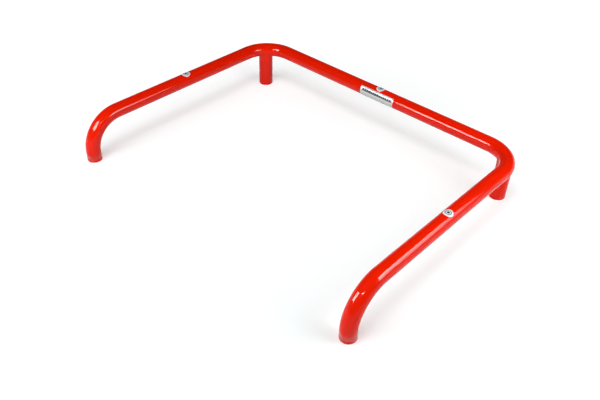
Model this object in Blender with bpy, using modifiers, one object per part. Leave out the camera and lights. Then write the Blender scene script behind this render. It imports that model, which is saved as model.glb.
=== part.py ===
"""Low goal frame for passing practice: one bent steel tube on two front legs, which are its own
bent-down ends, and two stouter rear legs coped and welded under the corner bends.

Metres, +Z up. X runs along the back rail, +Y points to the back rail, the floor is z = 0 and the
origin is on the floor under the middle of the frame's box.
"""

import math

import bmesh
import bpy
from mathutils import Matrix, Vector

# ---------------------------------------------------------------- driving dimensions

TUBE_DIAMETER = 0.023            # outside, of the hoop
REAR_LEG_DIAMETER = 0.025        # outside, a stouter tube than the hoop's
TUBE_WALL = 0.0015               # both tubes
RAIL_SPACING = 0.520             # side rail to side rail, centre to centre
FRAME_DEPTH = 0.387              # back rail to front legs, centre to centre
FRONT_LEG_STRAIGHT = 0.0155      # floor to the start of the front bends
BEND_RADIUS = 0.052              # centreline; one die makes all four bends
REAR_LEG_ANGLE = math.radians(41.5)  # round the corner bend, 0 at the side rail and 90 at the back rail

WELD_THROAT = 0.0028             # bead radius where leg and hoop meet at a right angle
WELD_RUN_OUT = 0.0014            # bead radius on the flanks, where the two tubes meet edge to edge

PLUG_HEAD_THICKNESS = 0.0040
PLUG_HEAD_ROUND = 0.0015
PLUG_SHANK_LENGTH = 0.0120
PLUG_SHANK_WALL = 0.0016
PLUG_RIBS = 3
PLUG_RIB_DEPTH = 0.0007          # how far each rib stands out of the shank
PLUG_RIB_SHAPE = (0.30, 0.42, 0.58, 0.95)  # foot, crest, end of crest and tail, in rib pitches

STICKER_DIAMETER = 0.0144
SIDE_STICKER_SHIFT = -0.0012     # the side rails' stickers sit just in front of the middle
SIDE_STICKER_LEAN = math.radians(2.5)  # and a little to the right of the top
BACK_STICKER_LEAN = math.radians(1)    # the back rail's sticker sits a little behind the top
BACK_PRINT_SHIFT = 0.0030        # the back rail's sticker and label sit right of the middle
LABEL_LENGTH = 0.0665            # along the back rail
LABEL_HEIGHT = 0.022             # measured round the tube
LABEL_CLEARANCE = 0.0017         # from the sticker's lower edge to the label, round the tube
FILM_THICKNESS = 0.0003          # stickers and label

SEAT_GAP = 0.0003                # between pieces that touch

TUBE_SIDES = 32                  # facets round a tube
BEND_STEPS = 9                   # facets along a bend
WELD_SIDES = 10
WELD_STEPS = 56
PLUG_SIDES = 24
PLUG_ROUND_STEPS = 3
STICKER_RINGS = 3
LABEL_STEPS = 9
MERGE_DISTANCE = 1e-6            # joins points that are one point

# ---------------------------------------------------------------- sizes that follow from them

TUBE_RADIUS = TUBE_DIAMETER / 2
LEG_RADIUS = REAR_LEG_DIAMETER / 2
RAIL_HEIGHT = FRONT_LEG_STRAIGHT + BEND_RADIUS
TUBE_END_HEIGHT = PLUG_HEAD_THICKNESS + SEAT_GAP
RAIL_X = RAIL_SPACING / 2
BACK_Y = FRAME_DEPTH / 2
FRONT_Y = -FRAME_DEPTH / 2
FILM_SEAT_RADIUS = TUBE_RADIUS + SEAT_GAP
SIDES = {"left": -1, "right": 1}


def bend_centre(side):
    """Centre of the corner bend, seen from above."""
    return Vector((side * (RAIL_X - BEND_RADIUS), BACK_Y - BEND_RADIUS, RAIL_HEIGHT))


def rear_leg_axis(side):
    """Where a rear leg's axis meets the floor: under the centreline of the corner bend."""
    centre = bend_centre(side)
    return Vector((centre.x + side * BEND_RADIUS * math.cos(REAR_LEG_ANGLE),
                   centre.y + BEND_RADIUS * math.sin(REAR_LEG_ANGLE), 0))


# ---------------------------------------------------------------- scene, collections, materials

for leftover in list(bpy.data.objects):
    bpy.data.objects.remove(leftover, do_unlink=True)


def new_collection(name):
    """A fresh collection linked to the scene."""
    collection = bpy.data.collections.new(name)
    bpy.context.scene.collection.children.link(collection)
    return collection


FRAME = new_collection("goal_frame")
CUTTERS = new_collection("cutters")


def new_material(name, colour, roughness, metallic=0.0):
    """A plain Principled material."""
    material = bpy.data.materials.new(name)
    material.use_nodes = True
    shader = material.node_tree.nodes["Principled BSDF"]
    shader.inputs["Base Color"].default_value = (*colour, 1)
    shader.inputs["Roughness"].default_value = roughness
    shader.inputs["Metallic"].default_value = metallic
    material.diffuse_color = (*colour, 1)
    return material


COATED_STEEL = new_material("red_powder_coat", (0.78, 0.017, 0.004), 0.22)
WELD_COATED = new_material("red_coated_weld", (0.72, 0.016, 0.004), 0.30)
PLUG_PLASTIC = new_material("red_plug_plastic", (0.62, 0.014, 0.005), 0.42)
STICKER_FILM = new_material("white_sticker_film", (0.82, 0.86, 0.86), 0.30)
LABEL_FOIL = new_material("silver_label_foil", (0.78, 0.80, 0.82), 0.28, 0.6)


# ---------------------------------------------------------------- modelling helpers

def add_object(name, data, collection, material=None):
    """A new object in a collection."""
    made = bpy.data.objects.new(name, data)
    collection.objects.link(made)
    if material is not None:
        data.materials.append(material)
    return made


def rounded_path(corners, radius, steps):
    """The points of a path through the corners, each inner corner rounded to an arc."""
    points = [corners[0]]
    for before, corner, after in zip(corners, corners[1:], corners[2:]):
        to_before = (before - corner).normalized()
        to_after = (after - corner).normalized()
        half_turn = (math.pi - to_before.angle(to_after)) / 2
        centre = corner + (to_before + to_after).normalized() * (radius / math.cos(half_turn))
        start = corner + to_before * (radius * math.tan(half_turn)) - centre
        turn_axis = to_after.cross(to_before).normalized()
        for step in range(steps + 1):
            turn = Matrix.Rotation(2 * half_turn * step / steps, 4, turn_axis)
            points.append(centre + turn @ start)
    points.append(corners[-1])
    return points


def tube_curve(name, points, radius, sides, material=None, closed=False, caps=False, radii=None):
    """A round tube along the points; radii can make it thinner or thicker from point to point."""
    curve = bpy.data.curves.new(name, "CURVE")
    curve.dimensions = "3D"
    curve.bevel_depth = radius
    curve.bevel_resolution = (sides - 4) // 2
    curve.use_fill_caps = caps
    spline = curve.splines.new("POLY")
    spline.points.add(len(points) - 1)
    for index, (spline_point, place) in enumerate(zip(spline.points, points)):
        spline_point.co = (*place, 1)
        spline_point.radius = radii[index] if radii else 1
    spline.use_cyclic_u = closed
    spline.use_smooth = True
    return add_object(name, curve, FRAME if material else CUTTERS, material)


def as_mesh(source, name, collection, material=None):
    """Turn a curve object into a mesh object with its caps welded on."""
    evaluated = source.evaluated_get(bpy.context.evaluated_depsgraph_get())
    mesh = bpy.data.meshes.new_from_object(evaluated)
    shape = bmesh.new()
    shape.from_mesh(mesh)
    bmesh.ops.remove_doubles(shape, verts=shape.verts, dist=MERGE_DISTANCE)
    bmesh.ops.recalc_face_normals(shape, faces=shape.faces)
    shape.to_mesh(mesh)
    shape.free()
    place = source.matrix_world.copy()
    bpy.data.objects.remove(source, do_unlink=True)
    made = add_object(name, mesh, collection, material)
    made.matrix_world = place
    return made


def as_cutter(made):
    """Show an object as a wire outline only."""
    made.hide_render = True
    made.display_type = "WIRE"
    return made


def cut(target, cutter):
    """Take the cutter's volume out of the target."""
    boolean = target.modifiers.new("cut_" + cutter.name, "BOOLEAN")
    boolean.operation = "DIFFERENCE"
    boolean.solver = "EXACT"
    boolean.object = cutter


def shade_round(mesh):
    """Smooth shading that keeps the crisp edges."""
    mesh.shade_smooth()
    mesh.set_sharp_from_angle(angle=math.radians(35))


def apply_cuts(made):
    """Keep the cut shape as the object's own mesh, so that its cut edges shade crisply."""
    evaluated = made.evaluated_get(bpy.context.evaluated_depsgraph_get())
    mesh = bpy.data.meshes.new_from_object(evaluated)
    made.modifiers.clear()
    made.data = mesh
    mesh.name = made.name
    shade_round(mesh)


def profile_mesh(name, points, material):
    """A bare outline: the points joined in order by edges."""
    mesh = bpy.data.meshes.new(name)
    mesh.from_pydata(points, [(index, index + 1) for index in range(len(points) - 1)], [])
    mesh.materials.append(material)
    return mesh


def turn_profile(made, axis, angle, steps):
    """Sweep an object's outline round one of its own axes."""
    turn = made.modifiers.new("turn", "SCREW")
    turn.axis = axis
    turn.angle = angle
    turn.steps = steps
    turn.render_steps = steps
    turn.use_merge_vertices = True
    turn.merge_threshold = MERGE_DISTANCE
    turn.use_smooth_shade = True


def add_tube_wall(tube):
    """Give an open tube surface its wall, inwards."""
    wall = tube.modifiers.new("wall", "SOLIDIFY")
    wall.thickness = TUBE_WALL
    wall.offset = -1


# ---------------------------------------------------------------- the bent hoop

def hoop_corners():
    """The sharp corners of the hoop's centreline, from the left foot to the right foot."""
    return [Vector((-RAIL_X, FRONT_Y, TUBE_END_HEIGHT)),
            Vector((-RAIL_X, FRONT_Y, RAIL_HEIGHT)),
            Vector((-RAIL_X, BACK_Y, RAIL_HEIGHT)),
            Vector((RAIL_X, BACK_Y, RAIL_HEIGHT)),
            Vector((RAIL_X, FRONT_Y, RAIL_HEIGHT)),
            Vector((RAIL_X, FRONT_Y, TUBE_END_HEIGHT))]


def make_hoop():
    """The hollow tube, open at both feet, where the plugs go in."""
    centreline = rounded_path(hoop_corners(), BEND_RADIUS, BEND_STEPS)
    add_tube_wall(tube_curve("hoop_tube", centreline, TUBE_RADIUS, TUBE_SIDES, COATED_STEEL))


def make_hoop_cutter(side_name):
    """The hoop's corner, one seat gap fatter, which copes a rear leg and trims its weld."""
    side = SIDES[side_name]
    reach = 2 * TUBE_DIAMETER
    corner = Vector((side * RAIL_X, BACK_Y, RAIL_HEIGHT))
    ends = [corner - Vector((0, BEND_RADIUS + reach, 0)), corner,
            corner - Vector((side * (BEND_RADIUS + reach), 0, 0))]
    bend = tube_curve("cope_curve", rounded_path(ends, BEND_RADIUS, 2 * BEND_STEPS),
                      TUBE_RADIUS + SEAT_GAP, TUBE_SIDES, caps=True)
    return as_cutter(as_mesh(bend, "cope_" + side_name, CUTTERS))


# ---------------------------------------------------------------- rear legs and their welds

def make_rear_leg(side_name, hoop_cutter):
    """An upright stub of tube whose top is coped to saddle the bend up to half its height."""
    foot = rear_leg_axis(SIDES[side_name])
    upright = [foot + Vector((0, 0, TUBE_END_HEIGHT)), foot + Vector((0, 0, RAIL_HEIGHT))]
    stub = tube_curve("leg_curve", upright, LEG_RADIUS, TUBE_SIDES)
    leg = as_mesh(stub, "rear_leg_" + side_name, FRAME, COATED_STEEL)
    add_tube_wall(leg)
    cut(leg, hoop_cutter)
    apply_cuts(leg)


def saddle_point(side_name, angle):
    """A point of the coped edge on the leg's outside, and how far it is up the hoop's flank (0-1)."""
    side = SIDES[side_name]
    point = rear_leg_axis(side) + LEG_RADIUS * Vector((math.cos(angle), math.sin(angle), 0))
    from_bend_centre = point - bend_centre(side)
    off_centreline = math.hypot(from_bend_centre.x, from_bend_centre.y) - BEND_RADIUS
    cope_radius = TUBE_RADIUS + SEAT_GAP
    rise = math.sqrt(max(cope_radius ** 2 - off_centreline ** 2, 0))
    point.z = RAIL_HEIGHT - rise
    return point, min(abs(off_centreline) / TUBE_RADIUS, 1)


def make_weld(side_name, hoop_cutter):
    """A bead round the saddle: full in the crotches, running out thin on the flanks."""
    points = []
    radii = []
    for step in range(WELD_STEPS):
        point, flank = saddle_point(side_name, 2 * math.pi * step / WELD_STEPS)
        points.append(point)
        radii.append(1 + (WELD_RUN_OUT / WELD_THROAT - 1) * flank ** 2)
    ring = tube_curve("weld_curve", points, WELD_THROAT, WELD_SIDES, closed=True, radii=radii)
    bead = as_mesh(ring, "weld_bead_" + side_name, FRAME, WELD_COATED)
    cut(bead, hoop_cutter)
    cut(bead, make_leg_cutter(side_name))
    apply_cuts(bead)


def make_leg_cutter(side_name):
    """The rear leg as a solid bar, one seat gap fatter, which trims the weld's inner side."""
    foot = rear_leg_axis(SIDES[side_name])
    upright = [foot + Vector((0, 0, RAIL_HEIGHT / 2)), foot + Vector((0, 0, RAIL_HEIGHT + SEAT_GAP))]
    bar = tube_curve("bar_curve", upright, LEG_RADIUS + SEAT_GAP, TUBE_SIDES, caps=True)
    return as_cutter(as_mesh(bar, "leg_bar_" + side_name, CUTTERS))


# ---------------------------------------------------------------- end plugs

def plug_profile(tube_radius):
    """Half a plug's section: flat foot, rounded head, ribbed shank and the hollow down its middle."""
    profile = [(0, 0)]
    for step in range(PLUG_ROUND_STEPS + 1):
        turn = math.pi / 2 * step / PLUG_ROUND_STEPS
        profile.append((tube_radius - PLUG_HEAD_ROUND * (1 - math.sin(turn)),
                        PLUG_HEAD_ROUND * (1 - math.cos(turn))))
    profile.append((tube_radius, PLUG_HEAD_THICKNESS))
    rib_tip = tube_radius - TUBE_WALL - SEAT_GAP
    shank = rib_tip - PLUG_RIB_DEPTH
    profile.append((shank, PLUG_HEAD_THICKNESS))
    pitch = PLUG_SHANK_LENGTH / PLUG_RIBS
    for rib in range(PLUG_RIBS):
        base = PLUG_HEAD_THICKNESS + pitch * rib
        for radius, station in zip((shank, rib_tip, rib_tip, shank), PLUG_RIB_SHAPE):
            profile.append((radius, base + pitch * station))
    top = PLUG_HEAD_THICKNESS + PLUG_SHANK_LENGTH
    hollow = shank - PLUG_SHANK_WALL
    profile += [(shank, top), (hollow, top), (hollow, PLUG_HEAD_THICKNESS), (0, PLUG_HEAD_THICKNESS)]
    return [(radius, 0, height) for radius, height in reversed(profile)]


def make_plugs():
    """A plug in the foot of each leg: two in the hoop's ends and two wider ones in the rear legs."""
    meshes = {"front": profile_mesh("front_plug", plug_profile(TUBE_RADIUS), PLUG_PLASTIC),
              "rear": profile_mesh("rear_plug", plug_profile(LEG_RADIUS), PLUG_PLASTIC)}
    for side_name, side in SIDES.items():
        feet = {"front": Vector((side * RAIL_X, FRONT_Y, 0)), "rear": rear_leg_axis(side)}
        for row, foot in feet.items():
            plug = bpy.data.objects.new("end_plug_%s_%s" % (row, side_name), meshes[row])
            plug.location = foot
            FRAME.objects.link(plug)
            turn_profile(plug, "Z", 2 * math.pi, PLUG_SIDES)


# ---------------------------------------------------------------- stickers and label

def face_away_from_tube(shape):
    """Turn a sheet's faces away from the tube, whose axis is local X."""
    bmesh.ops.recalc_face_normals(shape, faces=shape.faces)
    shape.faces.ensure_lookup_table()
    first = shape.faces[0]
    middle = first.calc_center_median()
    if first.normal.y * middle.y + first.normal.z * middle.z < 0:
        bmesh.ops.reverse_faces(shape, faces=shape.faces)


def add_film(made):
    """Give a sheet that lies on the tube its thickness, outwards."""
    film = made.modifiers.new("film", "SOLIDIFY")
    film.thickness = FILM_THICKNESS
    film.offset = 1


def make_sticker_mesh():
    """A round film laid over a tube that runs along local X, its middle on top."""
    shape = bmesh.new()
    ring_width = STICKER_DIAMETER / 2 / STICKER_RINGS
    row = [shape.verts.new((ring_width * ring, 0, 0)) for ring in range(STICKER_RINGS + 1)]
    for inner, outer in zip(row, row[1:]):
        shape.edges.new((inner, outer))
    bmesh.ops.spin(shape, geom=shape.verts[:] + shape.edges[:], cent=(0, 0, 0), axis=(0, 0, 1),
                   angle=2 * math.pi, steps=TUBE_SIDES)
    bmesh.ops.remove_doubles(shape, verts=shape.verts, dist=MERGE_DISTANCE)
    for vertex in shape.verts:
        wrap = vertex.co.y / FILM_SEAT_RADIUS
        vertex.co.y = FILM_SEAT_RADIUS * math.sin(wrap)
        vertex.co.z = FILM_SEAT_RADIUS * math.cos(wrap)
    face_away_from_tube(shape)
    mesh = bpy.data.meshes.new("round_sticker")
    shape.to_mesh(mesh)
    shape.free()
    mesh.materials.append(STICKER_FILM)
    shade_round(mesh)
    return mesh


def make_stickers():
    """One round sticker on top of each rail, near the middle of its straight run."""
    mesh = make_sticker_mesh()
    side_middle = ((BACK_Y - BEND_RADIUS) + (FRONT_Y + BEND_RADIUS)) / 2 + SIDE_STICKER_SHIFT
    side_turn = (SIDE_STICKER_LEAN, 0, math.pi / 2)
    places = {"left": (Vector((-RAIL_X, side_middle, RAIL_HEIGHT)), side_turn),
              "back": (Vector((BACK_PRINT_SHIFT, BACK_Y, RAIL_HEIGHT)), (-BACK_STICKER_LEAN, 0, 0)),
              "right": (Vector((RAIL_X, side_middle, RAIL_HEIGHT)), side_turn)}
    for name, (place, turn) in places.items():
        sticker = bpy.data.objects.new("round_sticker_" + name, mesh)
        sticker.location = place
        sticker.rotation_euler = turn
        FRAME.objects.link(sticker)
        add_film(sticker)


def label_top_angle():
    """From the top of the tube down to the label's upper edge, which follows the sticker's lower one."""
    sticker_edge = STICKER_DIAMETER / 2 / FILM_SEAT_RADIUS - BACK_STICKER_LEAN
    return sticker_edge + LABEL_CLEARANCE / FILM_SEAT_RADIUS


def make_label():
    """A rectangular foil wrapped on the inner front of the back rail."""
    edge_y = -FILM_SEAT_RADIUS * math.sin(label_top_angle())
    edge_z = FILM_SEAT_RADIUS * math.cos(label_top_angle())
    upper_edge = [(LABEL_LENGTH / 2, edge_y, edge_z), (-LABEL_LENGTH / 2, edge_y, edge_z)]
    label = add_object("foil_label", profile_mesh("foil_label", upper_edge, LABEL_FOIL), FRAME)
    label.location = (BACK_PRINT_SHIFT, BACK_Y, RAIL_HEIGHT)
    turn_profile(label, "X", LABEL_HEIGHT / FILM_SEAT_RADIUS, LABEL_STEPS)
    add_film(label)


# ---------------------------------------------------------------- build

make_hoop()
for name_of_side in SIDES:
    cope = make_hoop_cutter(name_of_side)
    make_rear_leg(name_of_side, cope)
    make_weld(name_of_side, cope)
make_plugs()
make_stickers()
make_label()
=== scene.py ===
# %% [markdown]
# # A low goal frame in red powder coat
#
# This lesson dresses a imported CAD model. The object is a goal frame for passing practice on ice or
# on a smooth floor: one steel tube bent into a hoop, two short rear legs welded under its corners,
# a plastic plug in each foot, three round stickers on top of the rails and one label on the back
# rail. The CAD solids have the right sizes but few facets and plain colours. Each one is replaced
# by a smoother piece of the same size with a finish worth looking at.

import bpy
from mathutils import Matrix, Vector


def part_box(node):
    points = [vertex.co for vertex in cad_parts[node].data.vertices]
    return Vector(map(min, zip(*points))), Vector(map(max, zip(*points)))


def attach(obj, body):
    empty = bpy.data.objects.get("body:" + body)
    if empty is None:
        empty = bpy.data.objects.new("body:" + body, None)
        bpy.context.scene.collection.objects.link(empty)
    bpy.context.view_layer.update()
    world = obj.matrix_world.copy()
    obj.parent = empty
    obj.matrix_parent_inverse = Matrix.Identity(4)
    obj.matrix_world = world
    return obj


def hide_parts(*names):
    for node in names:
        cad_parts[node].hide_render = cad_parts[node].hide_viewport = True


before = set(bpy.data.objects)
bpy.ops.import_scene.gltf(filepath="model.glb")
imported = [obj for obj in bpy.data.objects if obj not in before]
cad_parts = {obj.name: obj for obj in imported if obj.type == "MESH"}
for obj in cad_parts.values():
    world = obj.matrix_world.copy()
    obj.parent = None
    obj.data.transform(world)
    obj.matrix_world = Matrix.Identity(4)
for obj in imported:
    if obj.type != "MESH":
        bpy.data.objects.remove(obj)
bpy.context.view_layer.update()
print("solids:", ", ".join(sorted(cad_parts)))

# %% [markdown]
# ## Sizes that come from the solids
#
# Nothing is measured twice. A plug is as wide as the tube it closes, so the front plugs give the
# hoop's radius and the rear plugs give the stouter radius of the legs. The hoop's box less its radius
# gives the centrelines of the rails. The stickers and the label lie on the tube, so their boxes give
# angles round it. Only the bend radius and the wall can't be read from a box, and they are named here.

# %% Tube and centrelines
import math

import bmesh
import bpy
from mathutils import Matrix, Quaternion, Vector

BEND_RADIUS = 0.052
TUBE_WALL = 0.0015

plug_low, plug_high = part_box("end_plug_front_left")
hoop_low, hoop_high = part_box("hoop_tube")
rear_low, rear_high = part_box("end_plug_rear_left")
TUBE_RADIUS = (plug_high.x - plug_low.x) / 2
LEG_RADIUS = (rear_high.x - rear_low.x) / 2
RAIL_HEIGHT = hoop_high.z - TUBE_RADIUS
RAIL_X = hoop_high.x - TUBE_RADIUS
BACK_Y = hoop_high.y - TUBE_RADIUS
FRONT_Y = hoop_low.y + TUBE_RADIUS
TUBE_END = hoop_low.z
PLUG_TOP = plug_high.z
print("hoop %.1f mm thick, legs %.1f mm, rails %.1f mm up, %.0f mm apart"
      % (2000 * TUBE_RADIUS, 2000 * LEG_RADIUS, 1000 * RAIL_HEIGHT, 2000 * RAIL_X))

# %% Feet and corner bends
def middle_of(node):
    """The middle of a CAD node's box, put down on the floor."""
    low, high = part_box(node)
    return Vector(((low.x + high.x) / 2, (low.y + high.y) / 2, 0))


FEET = [middle_of("end_plug_%s_%s" % (row, side))
        for row in ("front", "rear") for side in ("left", "right")]
REAR_FEET = {"left": FEET[2], "right": FEET[3]}
BEND_CENTRE = {side: Vector((sign * (RAIL_X - BEND_RADIUS), BACK_Y - BEND_RADIUS, RAIL_HEIGHT))
               for side, sign in (("left", -1), ("right", 1))}
for name, foot in REAR_FEET.items():
    print("rear foot", name, [round(1000 * value, 1) for value in foot])

# %% Small helpers
def spoke(radius, step, steps):
    """From an axis out to a rim, some of a number of equal steps round."""
    turn = 2 * math.pi * step / steps
    return radius * Vector((math.cos(turn), math.sin(turn), 0))


def new_object(name, data):
    """An object in the scene."""
    made = bpy.data.objects.new(name, data)
    bpy.context.scene.collection.objects.link(made)
    return made


def new_mesh(name, points, edges=(), faces=()):
    """A mesh from plain lists."""
    mesh = bpy.data.meshes.new(name)
    mesh.from_pydata(points, edges, faces)
    return mesh


print("a quarter turn:", [round(value, 3) for value in spoke(1, 1, 4)])

# %% [markdown]
# ## Camera
#
# The frame is seen from above its right front corner, at about the height of a desk lamp. The camera
# looks at a point on the floor near the middle of the frame, and is rolled by almost two degrees, as
# a camera held in the hand is.

# %% Camera
CAMERA_PLACE = Vector((0.5633, -0.62964, 0.62753))
CAMERA_AIM = Vector((0.042, -0.0416, 0.0))
CAMERA_ROLL = math.radians(1.923)
LENS_MM, SENSOR_MM = 40.603, 36

camera = new_object("camera", bpy.data.cameras.new("camera"))
camera.data.lens = LENS_MM
camera.data.sensor_width = SENSOR_MM
look = (CAMERA_AIM - CAMERA_PLACE).to_track_quat("-Z", "Y")
camera.rotation_mode = "QUATERNION"
camera.rotation_quaternion = look @ Quaternion((0, 0, 1), CAMERA_ROLL)
camera.location = CAMERA_PLACE
bpy.context.scene.camera = camera
print("camera %.2f m from its aim" % (CAMERA_AIM - CAMERA_PLACE).length)

# %% [markdown]
# ## A few words for building node trees
#
# Shader trees and geometry trees are built in the same way: add a node, set its properties, then
# feed each input a number or a link. Helpers do that, so that the trees further down read as a
# recipe. Inputs of a node can share a name, and then they go by their number.

# %% Node helpers
def feed(tree, inputs, values):
    """A number or a link for each input in values."""
    for key, value in values.items():
        if isinstance(value, bpy.types.NodeSocket):
            tree.links.new(value, inputs[key])
        else:
            inputs[key].default_value = value


def add_node(tree, kind, values=None, **settings):
    """A new node with its settings and its inputs."""
    node = tree.nodes.new(kind)
    for setting, value in settings.items():
        setattr(node, setting, value)
    feed(tree, node.inputs, values or {})
    return node


def calculate(tree, operation, *terms):
    """A Math node; the output socket."""
    return add_node(tree, "ShaderNodeMath", dict(enumerate(terms)), operation=operation).outputs[0]


def combine(tree, operation, *terms):
    """A Vector Math node; the output vector."""
    made = add_node(tree, "ShaderNodeVectorMath", dict(enumerate(terms)), operation=operation)
    return made.outputs["Value" if operation in ("LENGTH", "DOT_PRODUCT") else "Vector"]


def scale_vector(tree, vector, factor):
    """A vector times a number."""
    return add_node(tree, "ShaderNodeVectorMath", {"Vector": vector, "Scale": factor},
                    operation="SCALE").outputs["Vector"]


def mix_colour(tree, mask, under, over):
    """One colour laid over another where the mask is one."""
    return add_node(tree, "ShaderNodeMix", {0: mask, 6: under, 7: (*over, 1)},
                    data_type="RGBA").outputs[2]


def new_group(name, kind, inputs, outputs):
    """A node group; its tree, the sockets that it is given and the sockets of its result."""
    tree = bpy.data.node_groups.new(name, kind)
    for direction, sockets in (("INPUT", inputs), ("OUTPUT", outputs)):
        for label, socket_type in sockets.items():
            tree.interface.new_socket(label, in_out=direction,
                                      socket_type="NodeSocket" + socket_type)
    return (tree, tree.nodes.new("NodeGroupInput").outputs,
            tree.nodes.new("NodeGroupOutput").inputs)


def new_material(name):
    """A node material; the material, its tree and the inputs of its Principled shader."""
    material = bpy.data.materials.new(name)
    material.use_nodes = True
    return material, material.node_tree, material.node_tree.nodes["Principled BSDF"].inputs


def hand_out(tree, geometry, finish, result):
    """The end of every geometry tree: real, smooth and with its material."""
    real = add_node(tree, "GeometryNodeRealizeInstances", {0: geometry})
    smooth = add_node(tree, "GeometryNodeSetShadeSmooth", {0: real.outputs[0]})
    coated = add_node(tree, "GeometryNodeSetMaterial", {
        "Geometry": smooth.outputs[0], "Material": finish})
    tree.links.new(coated.outputs[0], result)


print("node helpers ready")

# %% [markdown]
# ## Floor and air
#
# The floor is one large pale plane. Its diffuse colour takes the shadow of the frame, and a little
# glow, seen by camera, glossy and transmitted rays only, lifts the lit part of it to a clean white
# without putting more light on the tube. The lamps stand close and mostly in front, so the floor
# gets darker towards the back left and further out, and the glow grows there to make up for it. The
# air is pale at the horizon, where the floor ends, and dark above, so that the top of a glossy tube
# reflects nothing but the lamps.

# %% Floor
FLOOR_HALF = 30
FLOOR_COLOUR = (0.75, 0.81, 0.81, 1)  # a little less red, as the tube throws red on it
GLOW_COLOUR = (1, 0.98, 0.98, 1)
GLOW_MIDDLE, GLOW_MOST = 0.41, 0.95
GLOW_AWAY = (-0.27, 0.27, 0)         # how fast the glow grows along x and y, per metre
GLOW_EDGE, GLOW_RISE = 0.33, 0.65    # past this many metres it grows at this rate all round

corners = [(x * FLOOR_HALF, y * FLOOR_HALF, 0) for x, y in ((-1, -1), (1, -1), (1, 1), (-1, 1))]
floor = new_object("studio_floor", new_mesh("studio_floor", corners, faces=[(0, 1, 2, 3)]))
paper, tree, shader = new_material("studio_floor")
path = tree.nodes.new("ShaderNodeLightPath")
seen = calculate(tree, "MAXIMUM", path.outputs["Is Camera Ray"], path.outputs["Is Glossy Ray"])
seen = calculate(tree, "MAXIMUM", seen, path.outputs["Is Transmission Ray"])
place = tree.nodes.new("ShaderNodeTexCoord").outputs["Object"]
past_edge = calculate(tree, "MAXIMUM", calculate(
    tree, "SUBTRACT", combine(tree, "LENGTH", place), GLOW_EDGE), 0.0)
glow = calculate(tree, "ADD", combine(tree, "DOT_PRODUCT", place, GLOW_AWAY), GLOW_MIDDLE)
glow = calculate(tree, "MULTIPLY_ADD", past_edge, GLOW_RISE, glow)
glow = calculate(tree, "MINIMUM", calculate(tree, "MAXIMUM", glow, 0.0), GLOW_MOST)
feed(tree, shader, {
    "Base Color": FLOOR_COLOUR, "Roughness": 1, "Specular IOR Level": 0,
    "Emission Color": GLOW_COLOUR, "Emission Strength": calculate(tree, "MULTIPLY", seen, glow)})
floor.data.materials.append(paper)
print("floor", 2 * FLOOR_HALF, "m square, lifted by", GLOW_MIDDLE, "to", GLOW_MOST)

# %% Air
AIR_HORIZON, AIR_ABOVE = 0.95, 0.03
AIR_FADE = math.radians(4)           # the pale band is this high, where it has faded to a third

world = bpy.data.worlds.new("studio_air")
world.use_nodes = True
tree = world.node_tree
way = add_node(tree, "ShaderNodeSeparateXYZ", {
    0: tree.nodes.new("ShaderNodeTexCoord").outputs["Generated"]}).outputs[2]
fade = calculate(tree, "EXPONENT", calculate(tree, "DIVIDE", calculate(tree, "MAXIMUM", way, 0.0),
                                             -AIR_FADE))
pale = calculate(tree, "MULTIPLY_ADD", fade, AIR_HORIZON - AIR_ABOVE, AIR_ABOVE)
feed(tree, tree.nodes["Background"].inputs, {"Color": (1, 1, 1, 1), "Strength": pale})
bpy.context.scene.world = world
bpy.context.scene.view_settings.view_transform = "Standard"
print("air from", AIR_HORIZON, "at the horizon to", AIR_ABOVE)

# %% [markdown]
# ## Lamps
#
# A glossy tube shows two things: how bright it is, and what stands round it. They are lit apart. The
# colour and the soft shadows come from four softboxes and a faint glow from behind: the key high over
# the front gives the shadows their place, a wide fill before it softens them, and two low ones, at
# the front left and at the right, light the sides of the tube. All of these are hidden from glossy
# rays. Two white panels, one before the left bend and one behind the right rail, and three small
# glints with a narrow beam are there for the reflections alone. The strength of an area lamp is its
# radiance times pi times its area, so each is named by how bright it looks.

# %% Lamp helpers
PANEL_TIP = 0.35      # radians down from level


def add_lamp(name, kind, place, facing):
    """A lamp at a place, facing along a direction."""
    lamp = new_object(name, bpy.data.lights.new(name, kind))
    lamp.location = place
    lamp.rotation_euler = facing.to_track_quat("-Z", "Y").to_euler()
    lamp.visible_camera = False
    return lamp


def add_softbox(name, place, facing, size, radiance, spread=math.pi):
    """A rectangular area lamp, its longer way level; a grid can narrow the spread of its light."""
    lamp = add_lamp(name, "AREA", Vector(place), facing)
    lamp.data.shape = "RECTANGLE"
    lamp.data.size, lamp.data.size_y = size
    lamp.data.spread = spread
    gathered = 1 - spread / 2 / math.tan(spread / 2)
    lamp.data.energy = radiance * math.pi * size[0] * size[1] * gathered
    return lamp


def panel_facing(place, turn):
    """Level towards the middle of the frame, turned aside, then tipped down."""
    level = Vector((-place[0], -place[1], 0)).normalized()
    level.rotate(Matrix.Rotation(turn, 3, "Z"))
    return level * math.cos(PANEL_TIP) + Vector((0, 0, -math.sin(PANEL_TIP)))


print("lamp helpers ready")

# %% Lamps for colour and shadow
SOFTBOXES = {  # place, width and height, radiance; each faces the middle of the frame
    "key": ((0.19, -0.50, 1.96), (0.70, 0.70), 6.0),
    "fill": ((0.00, -0.80, 0.90), (1.10, 1.10), 1.65),
    "front_softbox": ((-0.25, -0.85, 0.28), (0.50, 0.36), 3.6),
    "right_softbox": ((0.68, 0.15, 0.45), (0.50, 0.40), 4.4),
}
BACK_GLOW = 0.08      # how bright a white sheet looks that faces it
BACK_GLOW_FROM, BACK_GLOW_WAY = Vector((-1, 1, 1)), Vector((0.66, -0.66, -0.34))
BACK_GLOW_WIDTH = math.radians(90)

for name, (place, size, radiance) in SOFTBOXES.items():
    lamp = add_softbox(name, place, -Vector(place), size, radiance)
    lamp.visible_glossy = False
    print(name, "%.1f W" % lamp.data.energy)

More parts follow.
